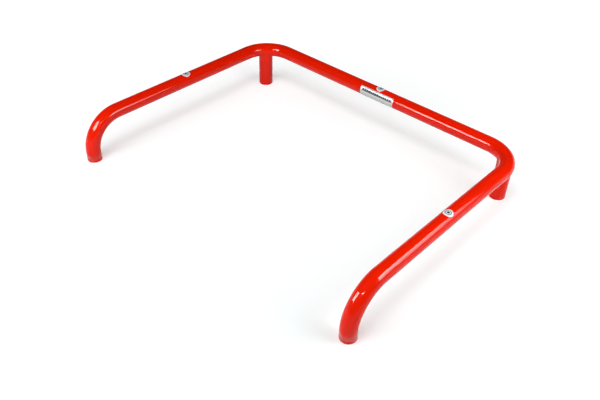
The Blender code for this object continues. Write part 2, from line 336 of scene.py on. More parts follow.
glow_lamp = add_lamp("glow_from_behind", "SUN", BACK_GLOW_FROM, BACK_GLOW_WAY)
glow_lamp.data.angle = BACK_GLOW_WIDTH
glow_lamp.data.energy = BACK_GLOW * math.pi
glow_lamp.visible_glossy = False
print("glow_from_behind %.2f W" % glow_lamp.data.energy)

# %% Panels for the reflections
PANELS = {  # place, width and height, turn aside, radiance, how much is left at the far side and foot
    "panel_left_bend": ((-0.185, -0.56, 0.415), (0.39, 0.25), 0.27, 40, 1, 1),
    "panel_right_rail": ((0.576, 0.211, 0.322), (0.44, 0.32), -0.08, 50, 0.22, 0.12),
}


def fade_panel(lamp, aside, foot):
    """Let a panel's light fall off from its bright upper corner, sideways and downwards."""
    lamp.data.use_nodes = True
    tree = lamp.data.node_tree
    across = add_node(tree, "ShaderNodeSeparateXYZ", {
        0: tree.nodes.new("ShaderNodeNewGeometry").outputs["Parametric"]})
    sideways = calculate(tree, "MULTIPLY_ADD", across.outputs[0], aside - 1, 1.0)
    downwards = calculate(tree, "MULTIPLY_ADD", across.outputs[1], 1 - foot, foot)
    tree.links.new(calculate(tree, "MULTIPLY", sideways, downwards),
                   tree.nodes["Emission"].inputs["Strength"])


for name, (place, size, turn, radiance, aside, foot) in PANELS.items():
    panel = add_softbox(name, place, panel_facing(place, turn), size, radiance)
    panel.visible_diffuse = False
    fade_panel(panel, aside, foot)
    print(name, "%.0f W" % panel.data.energy)

# %% Glints
GLINT_SPREAD = math.radians(50)
GLINTS = {  # place, the place on the tube that it faces, width and height, radiance
    "glint_left_bend": ((-0.062, -0.262, 0.203), (-0.251, -0.176, 0.064), (0.045, 0.016), 60),
    "glint_right_bend": ((0.336, -0.309, 0.267), (0.264, -0.178, 0.066), (0.085, 0.025), 60),
    "glint_left_corner": ((-0.027, 0.128, 0.202), (-0.237, 0.171, 0.074), (0.018, 0.018), 60),
}
for name, (place, target, size, radiance) in GLINTS.items():
    glint = add_softbox(name, place, Vector(target) - Vector(place), size, radiance, GLINT_SPREAD)
    glint.visible_diffuse = False
    print(name, "%.2f W" % glint.data.energy)

# %% [markdown]
# ## Powder coat
#
# The tube is sprayed with a polyester powder and baked. The coat is glossy but never flat: it flows
# into a faint orange peel, a few millimetres from crest to crest, and its gloss and tone drift
# slightly. Each finish on this frame but the films has such a skin, so it is a node group, and each
# material gives its own grain and amounts.

# %% Group: moulded or sprayed skin
DRIFTS_PER_METRE = 22.0


def make_skin_group():
    """Slow drift of tone and gloss, and a fine grain as height."""
    tree, given, result = new_group("skin", "ShaderNodeTree", {
        "Place": "Vector", "Colour": "Color", "Tone Drift": "Float", "Roughness": "Float",
        "Gloss Drift": "Float", "Grains per Metre": "Float"},
        {"Colour": "Color", "Roughness": "Float", "Height": "Float"})
    place = given["Place"]
    slow = add_node(tree, "ShaderNodeTexNoise", {
        "Vector": place, "Scale": DRIFTS_PER_METRE, "Detail": 3.0})
    fine = add_node(tree, "ShaderNodeTexNoise", {
        "Vector": place, "Scale": given["Grains per Metre"], "Detail": 2.0})
    drift = calculate(tree, "SUBTRACT", slow.outputs["Fac"], 0.5)
    tone = calculate(tree, "MULTIPLY_ADD", drift, given["Tone Drift"], 1.0)
    colour = scale_vector(tree, given["Colour"], tone)
    gloss = calculate(tree, "MULTIPLY_ADD", drift, given["Gloss Drift"], given["Roughness"])
    feed(tree, result, {"Colour": colour, "Roughness": gloss, "Height": fine.outputs["Fac"]})
    return tree


SKIN = make_skin_group()
print("group", SKIN.name, "with", len(SKIN.nodes), "nodes")

# %% Materials with that skin
def skin_material(name, colour, tone_drift, roughness, gloss_drift, grains, relief, specular):
    """A Principled material fed by the skin group; relief is the grain's height in metres."""
    material, tree, shader = new_material(name)
    skin = add_node(tree, "ShaderNodeGroup", {
        "Place": tree.nodes.new("ShaderNodeTexCoord").outputs["Object"], "Colour": (*colour, 1),
        "Tone Drift": tone_drift, "Roughness": roughness, "Gloss Drift": gloss_drift,
        "Grains per Metre": grains}, node_tree=SKIN)
    bump = add_node(tree, "ShaderNodeBump", {"Height": skin.outputs["Height"], "Strength": 1.0,
                                             "Distance": relief})
    feed(tree, shader, {"Base Color": skin.outputs["Colour"], "Roughness": skin.outputs["Roughness"],
                        "Normal": bump.outputs["Normal"], "Specular IOR Level": specular})
    return material


SKINS = {  # colour, tone drift, roughness, gloss drift, grains per metre, relief, specular level
    "red_powder_coat": ((0.84, 0.0125, 0.0002), 0.05, 0.09, 0.03, 300, 0.00001, 0.17),
    "red_coat_on_weld": ((0.82, 0.0125, 0.0002), 0.08, 0.14, 0.06, 520, 0.00003, 0.17),
    "red_plug_plastic": ((0.81, 0.012, 0.0004), 0.06, 0.16, 0.06, 1500, 0.00002, 0.16),
}
POWDER_COAT, WELD_COAT, PLUG_PLASTIC = (
    skin_material(name, *looks) for name, looks in SKINS.items())
print("materials:", ", ".join(SKINS))

# %% [markdown]
# ## Turning node results into plain pieces
#
# A geometry tree gets its sizes through named inputs. On the modifier an input goes by its
# identifier, so a helper looks it up. The evaluated object then becomes a plain mesh, without
# modifiers, and is measured: a closed mesh whose faces point outwards has a positive volume.

# %% Piece helpers
SHARP_ANGLE = math.radians(40)


def add_tree(made, name, **values):
    """The geometry tree of that name as a modifier, each input set by its identifier."""
    tree = bpy.data.node_groups[name]
    modifier = made.modifiers.new(name, "NODES")
    modifier.node_group = tree
    inputs = {item.name.replace(" ", "_").lower(): item.identifier
              for item in tree.interface.items_tree if item.in_out == "INPUT"}
    for label, value in values.items():
        modifier[inputs[label]] = value


def bake(made):
    """Keep what the modifiers make as the object's own mesh."""
    bpy.context.view_layer.update()
    evaluated = made.evaluated_get(bpy.context.evaluated_depsgraph_get())
    mesh = bpy.data.meshes.new_from_object(evaluated)
    made.modifiers.clear()
    made.data = mesh
    mesh.name = made.name


def finished_mesh(name, shape):
    """A bmesh as a mesh, shaded sharp where its faces meet at a steep angle."""
    mesh = bpy.data.meshes.new(name)
    shape.to_mesh(mesh)
    shape.free()
    mesh.set_sharp_from_angle(angle=SHARP_ANGLE)
    return mesh


def report(made):
    """Print a piece's triangles, open edges and volume, which is positive when faces point outwards."""
    shape = bmesh.new()
    shape.from_mesh(made.data)
    open_edges = sum(1 for edge in shape.edges if len(edge.link_faces) != 2)
    triangles = sum(len(face.verts) - 2 for face in shape.faces)
    print("%-20s %6d triangles, %d open edges, volume %.2f cm3"
          % (made.name, triangles, open_edges, 1e6 * shape.calc_volume(signed=True)))
    shape.free()


print("piece helpers ready")

# %% [markdown]
# ## The bent hoop
#
# The hoop is one length of tube, bent four times on the same die. A small geometry tree does what
# the bender does: it takes the six sharp corners of the centreline, rounds the inner four to the
# bend radius, and sweeps a circle along the line. A Solidify modifier gives the skin its steel wall.

# %% Tree: bent tube
def make_bent_tube_tree():
    """Corners in, a round tube with equal bends out."""
    tree, given, result = new_group("bent_tube", "GeometryNodeTree", {
        "Corners": "Geometry", "Bend Radius": "Float", "Bend Steps": "Int",
        "Tube Radius": "Float", "Tube Sides": "Int", "Finish": "Material"}, {"Tube": "Geometry"})
    line = add_node(tree, "GeometryNodeMeshToCurve", {"Mesh": given["Corners"]})
    bends = add_node(tree, "GeometryNodeFilletCurve", {
        "Curve": line.outputs[0], "Count": given["Bend Steps"],
        "Radius": given["Bend Radius"]}, mode="POLY")
    circle = add_node(tree, "GeometryNodeCurvePrimitiveCircle", {
        "Resolution": given["Tube Sides"], "Radius": given["Tube Radius"]})
    skin = add_node(tree, "GeometryNodeCurveToMesh", {
        "Curve": bends.outputs[0], "Profile Curve": circle.outputs[0]})
    hand_out(tree, skin.outputs[0], given["Finish"], result["Tube"])
    return tree


print("tree for a bent tube:", len(make_bent_tube_tree().nodes), "nodes")

# %% Hoop
BEND_STEPS, TUBE_SIDES = 40, 128
LEFT_CORNERS = [(-RAIL_X, FRONT_Y, TUBE_END), (-RAIL_X, FRONT_Y, RAIL_HEIGHT),
                (-RAIL_X, BACK_Y, RAIL_HEIGHT)]
HOOP_CORNERS = LEFT_CORNERS + [(-x, y, z) for x, y, z in reversed(LEFT_CORNERS)]

hoop = new_object("bent_hoop", new_mesh(
    "hoop_corners", HOOP_CORNERS, [(index, index + 1) for index in range(len(HOOP_CORNERS) - 1)]))
add_tree(hoop, "bent_tube", bend_radius=BEND_RADIUS, bend_steps=BEND_STEPS,
         tube_radius=TUBE_RADIUS, tube_sides=TUBE_SIDES, finish=POWDER_COAT)
wall = hoop.modifiers.new("wall", "SOLIDIFY")
wall.thickness = TUBE_WALL
wall.offset = -1
wall.use_even_offset = True
bake(hoop)
report(hoop)
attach(hoop, "root")
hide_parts("hoop_tube")

# %% [markdown]
# ## Rear legs
#
# Each rear leg is a stub of a slightly stouter tube. Its top is coped: a hole saw as wide as the
# hoop bites out a saddle, so that the stub fits the underside of the bend all round, and the outer
# edge is bevelled to make room for the weld. A boolean would leave ragged triangles. The cut has an
# exact rule, so each point of the rim is put at its own height instead, and the faces stay even.

# %% Legs
COPE_GAP = 0.0003
WELD_BEVEL = 0.0028


def hoop_underside(side, point, gap=0.0):
    """Height of the bend's underside straight above a point, for a tube that is fatter by gap."""
    centre = BEND_CENTRE[side]
    off = math.hypot(point.x - centre.x, point.y - centre.y) - BEND_RADIUS
    return RAIL_HEIGHT - math.sqrt(max((TUBE_RADIUS + gap) ** 2 - off ** 2, 0))


def make_leg(side):
    """A hollow stub: outer foot, outer rim, inner rim and inner foot, swept round the axis."""
    shape = bmesh.new()
    sections = []
    for step in range(TUBE_SIDES):
        section = []
        for radius, is_top, bevel in ((LEG_RADIUS, False, 0), (LEG_RADIUS, True, WELD_BEVEL),
                                      (LEG_RADIUS - TUBE_WALL, True, 0),
                                      (LEG_RADIUS - TUBE_WALL, False, 0)):
            point = REAR_FEET[side] + spoke(radius, step, TUBE_SIDES)
            point.z = hoop_underside(side, point, COPE_GAP) - bevel if is_top else TUBE_END
            section.append(shape.verts.new(point))
        sections.append(section)
    for here, there in zip(sections, sections[1:] + sections[:1]):
        for index in range(4):
            after = (index + 1) % 4
            face = shape.faces.new((here[index], there[index], there[after], here[after]))
            face.smooth = index in (0, 2)
    mesh = finished_mesh("coped_leg_" + side, shape)
    mesh.materials.append(POWDER_COAT)
    return new_object("coped_leg_" + side, mesh)


for side in REAR_FEET:
    leg = make_leg(side)
    report(leg)
    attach(leg, "root")
    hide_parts("rear_leg_" + side)

# %% [markdown]
# ## Welds
#
# A welder runs a bead round the saddle, and the coat rounds it off. The bead is a hollow fillet where
# the leg meets the hoop square on. On the flanks the leg is a little wider than the hoop, and there
# the bead slopes from one to the other. Mesh code finds four lines that run round the joint: the toe
# on the leg, the toe on the hoop, the pull that bends the section between them, and the root. A
# geometry tree stretches a grid over them and adds the ripples that a moving weld pool leaves.

# %% The seam between leg and hoop
WELD_STEPS = 420
FLANK_SOFTNESS = 0.0016


def seam_line(side):
    """Evenly spaced points round the saddle, its two sharp turns eased."""
    fine = []
    for step in range(4 * WELD_STEPS):
        point = REAR_FEET[side] + spoke(LEG_RADIUS, step, 4 * WELD_STEPS)
        point.z = hoop_underside(side, point)
        fine.append(point)
    lengths = [(there - here).length for here, there in zip(fine, fine[1:] + fine[:1])]
    pitch = sum(lengths) / WELD_STEPS
    even, index, covered = [], 0, 0.0
    for step in range(WELD_STEPS):
        while covered + lengths[index] < step * pitch:
            covered += lengths[index]
            index += 1
        share = (step * pitch - covered) / lengths[index]
        even.append(fine[index].lerp(fine[(index + 1) % len(fine)], share))
    reach = int(3 * FLANK_SOFTNESS / pitch)
    weights = [math.exp(-0.5 * (offset * pitch / FLANK_SOFTNESS) ** 2)
               for offset in range(-reach, reach + 1)]
    eased = []
    for step in range(WELD_STEPS):
        total = Vector()
        for offset, weight in zip(range(-reach, reach + 1), weights):
            total += weight * even[(step + offset) % WELD_STEPS]
        eased.append(total / sum(weights))
    return eased, pitch * WELD_STEPS


print("seam %.1f mm round" % (1000 * seam_line("left")[1]))

# %% Toes, pull and root of the bead
FILLET_LEG = 0.0034   # seam to toe, on the leg and on the hoop
TOE_DEPTH = 0.00004   # toes sit this far into the tubes, so that no crack shows
ROOT_DEPTH = 0.0012   # seam to root, inwards
UPWARDS = Vector((0, 0, 0.5))   # up the hoop is the way that leads out from the leg and upwards


def on_leg(side, point):
    """The nearest point just under the leg's skin."""
    out = Vector((point.x, point.y, 0)) - REAR_FEET[side]
    placed = REAR_FEET[side] + out.normalized() * (LEG_RADIUS - TOE_DEPTH)
    placed.z = point.z
    return placed


def hoop_normal(side, point):
    """From the bend's centreline straight out to a point; the normal and the place on that line."""
    centre = BEND_CENTRE[side]
    level = Vector((point.x - centre.x, point.y - centre.y, 0)).normalized()
    axis = centre + level * BEND_RADIUS
    return (point - axis).normalized(), axis


def bead_lines(side):
    """For each seam point: toe on the leg, toe on the hoop, pull and root."""
    seam, length = seam_line(side)
    rows = []
    for before, point, after in zip(seam[-1:] + seam[:-1], seam, seam[1:] + seam[:1]):
        along = (after - before).normalized()
        leg_out = (Vector((point.x, point.y, 0)) - REAR_FEET[side]).normalized()
        hoop_out, axis = hoop_normal(side, point)
        step_out = max((point - axis).length - TUBE_RADIUS, 0)
        down_leg = leg_out.cross(along).normalized()
        down_leg = -down_leg if down_leg.z > 0 else down_leg
        up_hoop = hoop_out.cross(along).normalized()
        up_hoop = -up_hoop if up_hoop.dot(leg_out + UPWARDS) < 0 else up_hoop
        leg_toe = on_leg(side, point + FILLET_LEG * down_leg)
        normal, axis = hoop_normal(side, point + FILLET_LEG * up_hoop)
        hoop_toe = axis + normal * (TUBE_RADIUS - TOE_DEPTH)
        pull = point + 2 * step_out * down_leg
        root = point - ROOT_DEPTH * (leg_out + hoop_out).normalized()
        rows.append((point, leg_toe, hoop_toe, pull, root))
    return rows, length


widths = [1000 * (row[1] - row[2]).length for row in bead_lines("left")[0]]
print("fillet %.1f to %.1f mm wide" % (min(widths), max(widths)))

# %% Tree: weld bead
RIPPLE_BOW = 2.2      # in ripples; at the bead's middle the crescents trail by half of it
MERGE_DISTANCE = 1e-6


def make_weld_tree():
    """A ring with toe, pull and root attributes in, a rippled closed bead out."""
    tree, given, result = new_group("weld_bead", "GeometryNodeTree", {
        "Seam": "Geometry", "Steps": "Int", "Rows": "Int", "Ripples": "Int",
        "Ripple Height": "Float", "Finish": "Material"}, {"Bead": "Geometry"})
    rows = calculate(tree, "ADD", given["Rows"], 2)
    grid = add_node(tree, "GeometryNodeMeshGrid", {
        "Vertices X": calculate(tree, "ADD", given["Steps"], 1), "Vertices Y": rows})
    index = add_node(tree, "GeometryNodeInputIndex").outputs[0]
    step = calculate(tree, "FLOOR", calculate(tree, "DIVIDE", calculate(tree, "ADD", index, 0.5), rows))
    row = calculate(tree, "SUBTRACT", index, calculate(tree, "MULTIPLY", step, rows))
    ring_index = calculate(tree, "MODULO", step, given["Steps"])

    def line(label):
        """One of the ring's lines, at the grid's step."""
        stored = add_node(tree, "GeometryNodeInputNamedAttribute", {"Name": label},
                          data_type="FLOAT_VECTOR")
        return add_node(tree, "GeometryNodeSampleIndex", {
            "Geometry": given["Seam"], "Value": stored.outputs[0], "Index": ring_index},
            data_type="FLOAT_VECTOR", domain="POINT").outputs[0]

    leg_toe, hoop_toe, pull, root = (line(label) for label in
                                     ("leg_toe", "hoop_toe", "pull", "root"))
    last = calculate(tree, "SUBTRACT", given["Rows"], 1)
    share = calculate(tree, "MINIMUM", calculate(tree, "DIVIDE", row, last), 1.0)
    rest = calculate(tree, "SUBTRACT", 1.0, share)
    middle = calculate(tree, "MULTIPLY", calculate(tree, "MULTIPLY", share, rest), 2.0)
    arc = scale_vector(tree, leg_toe, calculate(tree, "MULTIPLY", rest, rest))
    arc = combine(tree, "ADD", arc, scale_vector(tree, pull, middle))
    arc = combine(tree, "ADD", arc,
                  scale_vector(tree, hoop_toe, calculate(tree, "MULTIPLY", share, share)))
    turns = calculate(tree, "DIVIDE", calculate(tree, "MULTIPLY", step, given["Ripples"]),
                      given["Steps"])
    bow = calculate(tree, "MULTIPLY", middle, RIPPLE_BOW)
    wave = calculate(tree, "SINE", calculate(tree, "MULTIPLY", calculate(tree, "ADD", turns, bow),
                                             2 * math.pi))
    lift = calculate(tree, "MULTIPLY", calculate(tree, "MULTIPLY", wave, middle),
                     given["Ripple Height"])
    out = combine(tree, "NORMALIZE", combine(tree, "SUBTRACT", pull, root))
    rippled = combine(tree, "ADD", arc, scale_vector(tree, out, lift))
    is_root = add_node(tree, "FunctionNodeCompare", {0: row, 1: given["Rows"], "Epsilon": 0.1},
                       operation="EQUAL").outputs[0]
    is_close = add_node(tree, "FunctionNodeCompare", {
        0: row, 1: calculate(tree, "ADD", given["Rows"], 0.5)},
        operation="GREATER_THAN").outputs[0]
    place = rippled
    for test, other in ((is_root, root), (is_close, leg_toe)):
        place = add_node(tree, "GeometryNodeSwitch", {0: test, 1: place, 2: other},
                         input_type="VECTOR").outputs[0]
    laid = add_node(tree, "GeometryNodeSetPosition", {"Geometry": grid.outputs[0], "Position": place})
    closed = add_node(tree, "GeometryNodeMergeByDistance", {
        "Geometry": laid.outputs[0], "Distance": MERGE_DISTANCE})
    hand_out(tree, closed.outputs[0], given["Finish"], result["Bead"])
    return tree


print("tree for a weld bead:", len(make_weld_tree().nodes), "nodes")

# %% Weld beads
RIPPLE_PITCH, RIPPLE_HEIGHT = 0.0013, 0.00010
WELD_ROWS = 12


def store_vectors(mesh, label, vectors):
    """A vector for each point of a mesh, under a name that a tree can read."""
    stored = mesh.attributes.new(label, "FLOAT_VECTOR", "POINT")
    stored.data.foreach_set("vector", [value for vector in vectors for value in vector])


for side in REAR_FEET:
    rows, length = bead_lines(side)
    ring = new_mesh("weld_seam", [row[0] for row in rows],
                    [(step, (step + 1) % WELD_STEPS) for step in range(WELD_STEPS)])
    for column, label in enumerate(("leg_toe", "hoop_toe", "pull", "root"), start=1):
        store_vectors(ring, label, [row[column] for row in rows])
    weld = new_object("weld_fillet_" + side, ring)
    add_tree(weld, "weld_bead", steps=WELD_STEPS, rows=WELD_ROWS,
             ripples=round(length / RIPPLE_PITCH), ripple_height=RIPPLE_HEIGHT, finish=WELD_COAT)
    bake(weld)
    report(weld)
    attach(weld, "root")
    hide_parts("weld_bead_" + side)

# %% [markdown]
# ## End plugs
#
# Each foot is closed by a moulded plug: a head as wide as the tube, rounded where it meets the floor,
# and a ribbed shank that grips the bore. There is one size for the hoop and one for the legs. The
# section is turned once round its axis, and a geometry tree sets a copy of it on each foot of a row.

# %% Turned shapes
def turned_mesh(name, profile, sides):
    """A section from pole to pole, as radius and height, turned round Z with its faces outwards."""
    shape = bmesh.new()
    rings = [[shape.verts.new(spoke(radius, step, sides) + Vector((0, 0, height)))
              for step in range(sides if radius else 1)] for radius, height in profile]
    for low, high in zip(rings, rings[1:]):
        for step in range(sides):
            after = (step + 1) % sides
            corners = [low[step % len(low)], low[after % len(low)],
                       high[after % len(high)], high[step % len(high)]]
            shape.faces.new(list(dict.fromkeys(corners)))
    for face in shape.faces:
        face.smooth = True
    return finished_mesh(name, shape)


print("turned shapes ready")

# %% Plug section
HEAD_TOP = TUBE_END - COPE_GAP
HEAD_ROUND, HEAD_STEPS = 0.0015, 8
HEAD_EDGE = 0.00025       # bevel at the top of the head
GRIP_GAP = 0.0002         # rib to bore
RIBS, RIB_DEPTH = 3, 0.0007
RIB_PITCH = (PLUG_TOP - HEAD_TOP) / RIBS
RIB_SHAPE = (0.30, 0.42, 0.58, 0.95)  # foot, crest, end of crest and tail, in pitches
SHANK_WALL = 0.0016
PLUG_SIDES = 96


def plug_profile(radius):
    """Foot, rounded head, three ribs and the hollow of the shank, for a tube of this radius."""
    grip = radius - TUBE_WALL - GRIP_GAP
    shank = grip - RIB_DEPTH
    hollow = shank - SHANK_WALL
    profile = [(0, 0), (radius - HEAD_ROUND, 0)]
    for step in range(1, HEAD_STEPS + 1):
        turn = math.pi / 2 * step / HEAD_STEPS
        profile.append((radius - HEAD_ROUND * (1 - math.sin(turn)),
                        HEAD_ROUND * (1 - math.cos(turn))))
    profile += [(radius, HEAD_TOP - HEAD_EDGE), (radius - HEAD_EDGE, HEAD_TOP), (shank, HEAD_TOP)]
    for rib in range(RIBS):
        profile += [(across, HEAD_TOP + RIB_PITCH * rib + share * RIB_PITCH)
                    for across, share in zip((shank, grip, grip, shank), RIB_SHAPE)]
    return profile + [(shank, PLUG_TOP), (hollow, PLUG_TOP), (hollow, HEAD_TOP), (0, HEAD_TOP)]


print("plug section:", len(plug_profile(TUBE_RADIUS)), "points")

# %% Tree: copies on feet
def make_copies_tree():
    """Points in, a copy of the part on each point out."""
    tree, given, result = new_group("copies_on_feet", "GeometryNodeTree", {
        "Feet": "Geometry", "Part": "Object", "Finish": "Material"}, {"Copies": "Geometry"})
    part = add_node(tree, "GeometryNodeObjectInfo", {"Object": given["Part"]})
    copies = add_node(tree, "GeometryNodeInstanceOnPoints", {
        "Points": given["Feet"], "Instance": part.outputs["Geometry"]})
    hand_out(tree, copies.outputs[0], given["Finish"], result["Copies"])
    return tree


print("tree for copies:", len(make_copies_tree().nodes), "nodes")

# %% Plugs
for row, feet, radius in (("front", FEET[:2], TUBE_RADIUS), ("rear", FEET[2:], LEG_RADIUS)):
    one_plug = new_object("one_plug", turned_mesh("one_plug", plug_profile(radius), PLUG_SIDES))
    plugs = new_object("foot_plugs_" + row, new_mesh("feet", feet))
    add_tree(plugs, "copies_on_feet", part=one_plug, finish=PLUG_PLASTIC)
    bake(plugs)
    bpy.data.objects.remove(one_plug)
    report(plugs)
    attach(plugs, "root")
    for side in ("left", "right"):
        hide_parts("end_plug_%s_%s" % (row, side))

# %% [markdown]
# ## Wrapping a flat film on the tube
#
# Stickers and label are cut flat and then pressed on a round tube. They are modelled in that order.
# Each is a flat solid, with the tube's axis along X and the film's underside at height zero. A node
# group stores where every point was on the flat sheet, for the print, and then rolls the sheet: a
# point that lies a distance along Y goes that far round the tube.

# %% Group: wrap on tube
def make_wrap_group():
    """Store the flat place, then roll the sheet round a tube along X."""
    tree, given, result = new_group("wrap_on_tube", "GeometryNodeTree", {
        "Flat": "Geometry", "Seat Radius": "Float"}, {"Wrapped": "Geometry"})
    place = add_node(tree, "GeometryNodeInputPosition").outputs[0]
    kept = add_node(tree, "GeometryNodeStoreNamedAttribute", {
        "Geometry": given["Flat"], "Name": "flat_place", "Value": place},
        data_type="FLOAT_VECTOR", domain="POINT")
    parts = add_node(tree, "ShaderNodeSeparateXYZ", {0: place})
    angle = calculate(tree, "DIVIDE", parts.outputs[1], given["Seat Radius"])
    radius = calculate(tree, "ADD", parts.outputs[2], given["Seat Radius"])
    rolled = add_node(tree, "ShaderNodeCombineXYZ", {
        0: parts.outputs[0], 1: calculate(tree, "MULTIPLY", radius, calculate(tree, "SINE", angle)),
        2: calculate(tree, "MULTIPLY", radius, calculate(tree, "COSINE", angle))})
    laid = add_node(tree, "GeometryNodeSetPosition", {
        "Geometry": kept.outputs[0], "Position": rolled.outputs[0]})
    tree.links.new(laid.outputs[0], result["Wrapped"])
    return tree


WRAP = make_wrap_group()
print("wrap group:", len(WRAP.nodes), "nodes")

# %% [markdown]
# ## Print on the stickers
#
# The stickers are white vinyl under a clear domed skin. Their mark is a plain target, a ring and a
# dot, which says nothing. Rings are cut from the distance to the sticker's middle with narrow ramps,
# so their edges stay crisp but not stepped.

# %% Group: soft-edged band
def make_band_group():
    """One where a value lies between two limits, with edges of a given softness."""
    tree, given, result = new_group("band", "ShaderNodeTree", {
        "Value": "Float", "From": "Float", "To": "Float", "Softness": "Float"}, {"Mask": "Float"})
    rise = calculate(tree, "SUBTRACT", given["Value"], given["From"])
    fall = calculate(tree, "SUBTRACT", given["To"], given["Value"])
    inside = calculate(tree, "DIVIDE", calculate(tree, "MINIMUM", rise, fall), given["Softness"])
    edge = add_node(tree, "ShaderNodeClamp", {0: calculate(tree, "ADD", inside, 0.5)})
    tree.links.new(edge.outputs[0], result["Mask"])
    return tree


BAND = make_band_group()


def band(tree, value, start, end, softness=0.00012):
    """A band's mask in a material."""
    return add_node(tree, "ShaderNodeGroup", {"Value": value, "From": start, "To": end,
                                              "Softness": softness}, node_tree=BAND).outputs["Mask"]


print("band group:", len(BAND.nodes), "nodes")

# %% Sticker print
STICKER_WHITE = (0.84, 0.86, 0.86)
STICKER_FIELD = (0.64, 0.72, 0.73)
STICKER_INK = (0.035, 0.055, 0.060)
FIELD_RADIUS, DOT_RADIUS = 0.0052, 0.0019
RING = (0.0036, 0.0043)
NO_HOLE = -0.001          # a band that starts below zero is a full disc


def make_sticker_print():
    """White border, pale blue field, dark ring and dot, under a glossy dome."""
    material, tree, shader = new_material("sticker_print")
    place = add_node(tree, "ShaderNodeAttribute", attribute_name="flat_place").outputs["Vector"]
    away = combine(tree, "LENGTH", combine(tree, "MULTIPLY", place, (1, 1, 0)))
    field = band(tree, away, NO_HOLE, FIELD_RADIUS)
    ink = calculate(tree, "MAXIMUM", band(tree, away, *RING), band(tree, away, NO_HOLE, DOT_RADIUS))
    colour = mix_colour(tree, field, (*STICKER_WHITE, 1), STICKER_FIELD)
    colour = mix_colour(tree, ink, colour, STICKER_INK)
    feed(tree, shader, {"Base Color": colour, "Roughness": 0.16, "Specular IOR Level": 0.45})
    return material


STICKER_PRINT = make_sticker_print()
print("material:", STICKER_PRINT.name)

# %% Flat sticker
FILM_BED = 0.00002        # the adhesive, between tube and film

side_low, side_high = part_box("round_sticker_left")
back_low, back_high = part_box("round_sticker_back")
FILM_RADIUS = side_high.z - RAIL_HEIGHT
STICKER_RADIUS = (back_high.x - back_low.x) / 2
SEAT_RADIUS = TUBE_RADIUS + FILM_BED
DOME = FILM_RADIUS - SEAT_RADIUS
RIM_HEIGHT, EDGE_HEIGHT = 0.25, 0.4   # of the dome: the upright rim, and where the dome starts
RIM_INSET, DOME_POWER = 0.00008, 8
STICKER_RINGS, STICKER_SIDES = 14, 96


def sticker_profile():
    """Underside, a thin rim and a low dome that is full soon after the rim."""
    steps = [index / STICKER_RINGS for index in range(STICKER_RINGS + 1)]
    profile = [(STICKER_RADIUS * step, 0) for step in steps]
    profile.append((STICKER_RADIUS, RIM_HEIGHT * DOME))
    for step in reversed(steps):
        height = EDGE_HEIGHT * DOME + (1 - EDGE_HEIGHT) * DOME * (1 - step ** DOME_POWER)
        profile.append((STICKER_RADIUS * step - (RIM_INSET if step == 1 else 0), height))
    return profile


flat_sticker = new_object("flat_sticker", turned_mesh("flat_sticker", sticker_profile(), STICKER_SIDES))
print("sticker %.1f mm across, %.2f mm thick" % (2000 * STICKER_RADIUS, 1000 * DOME))

# %% Tree: stickers on rails
def make_sticker_tree():
    """A point on each rail's centreline, with its turn, in; wrapped stickers out."""
    tree, given, result = new_group("stickers_on_rails", "GeometryNodeTree", {
        "Places": "Geometry", "Flat Part": "Object", "Seat Radius": "Float",
        "Finish": "Material"}, {"Stickers": "Geometry"})
    part = add_node(tree, "GeometryNodeObjectInfo", {"Object": given["Flat Part"]})
    wrapped = add_node(tree, "GeometryNodeGroup", {
        "Flat": part.outputs["Geometry"], "Seat Radius": given["Seat Radius"]}, node_tree=WRAP)
    turn = add_node(tree, "GeometryNodeInputNamedAttribute", {"Name": "turn"},
                    data_type="FLOAT_VECTOR").outputs[0]
    copies = add_node(tree, "GeometryNodeInstanceOnPoints", {
        "Points": given["Places"], "Instance": wrapped.outputs[0],
        "Rotation": add_node(tree, "FunctionNodeEulerToRotation", {0: turn}).outputs[0]})
    hand_out(tree, copies.outputs[0], given["Finish"], result["Stickers"])
    return tree


print("tree for stickers:", len(make_sticker_tree().nodes), "nodes")

# %% Stickers
def lean(low, high, rail):
    """How far round from the top of a rail the film's middle lies, from its two edges."""
    return (math.asin((low - rail) / FILM_RADIUS) + math.asin((high - rail) / FILM_RADIUS)) / 2


side_turn = (lean(side_low.x, side_high.x, -RAIL_X), 0, math.pi / 2)
side_y = middle_of("round_sticker_left").y
back_x = middle_of("round_sticker_back").x
STICKER_PLACES = [
    ((-RAIL_X, side_y, RAIL_HEIGHT), side_turn),
    ((back_x, BACK_Y, RAIL_HEIGHT), (-lean(back_low.y, back_high.y, BACK_Y), 0, 0)),
    ((RAIL_X, side_y, RAIL_HEIGHT), side_turn)]

places = new_mesh("sticker_places", [place for place, turn in STICKER_PLACES])
store_vectors(places, "turn", [turn for place, turn in STICKER_PLACES])
stickers = new_object("rail_stickers", places)
add_tree(stickers, "stickers_on_rails", flat_part=flat_sticker,
         seat_radius=SEAT_RADIUS, finish=STICKER_PRINT)
bake(stickers)
bpy.data.objects.remove(flat_sticker)
report(stickers)
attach(stickers, "root")
for name in ("left", "back", "right"):
    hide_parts("round_sticker_" + name)

# %% [markdown]
# ## The label
#
# A silver label is wrapped on the inner side of the back rail. Its upper edge follows the sticker
# above it and its lower edge is out of sight under the rail. It carries no words: a row of plain
# dark bars stands on a white band where a label has its lettering, with a grey band below. The white
# band is partly a painted highlight, where the highlight streak along the rail crosses the foil, and
# the grey band is partly painted shade, where the label faces down. The print and the painted light
# are laid out in metres from the middle of the upper edge, along the rail and down the label.

# %% Group: row of bars
BAR_SOFTNESS = 0.08       # of the pitch


